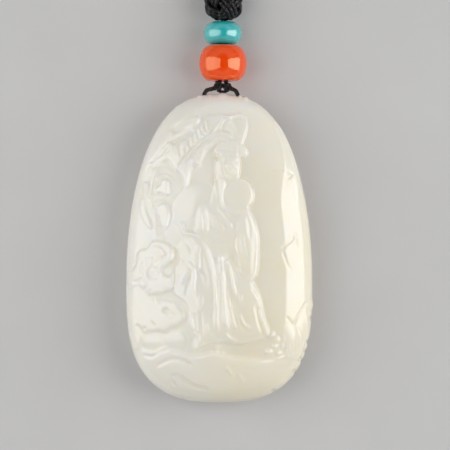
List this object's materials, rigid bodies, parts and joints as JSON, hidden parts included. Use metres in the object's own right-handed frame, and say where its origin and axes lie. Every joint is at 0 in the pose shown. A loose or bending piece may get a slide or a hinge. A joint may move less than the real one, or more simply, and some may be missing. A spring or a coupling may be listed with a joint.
{
  "type": "jade palm carving",
  "caption": "Pebble-shaped white jade palm carving of a scholar under a great leaf, on a black cord with a coral bead, a turquoise bead and a woven button knot.",
  "frame": {"origin": "middle of the small flat spot that the jade rests on, lying face up", "axes": "+Z out of the carved face, +Y towards the hanging hole and the beads, +X to the right of a viewer facing the carving"},
  "size_m": [0.048, 0.1542, 0.019],
  "materials": {
    "white_jade": "gloss",
    "coral": "gloss",
    "turquoise": "gloss",
    "black_cord": "matte"
  },
  "bodies": {
    "root": {"jade_carving": "white_jade", "coral_bead": "coral", "turquoise_bead": "turquoise", "button_knot": "black_cord", "hanging_cord": "black_cord", "neck_cord_run_left": "black_cord", "neck_cord_run_right": "black_cord", "neck_cord_coil": "black_cord"}
  },
  "joints": []
}
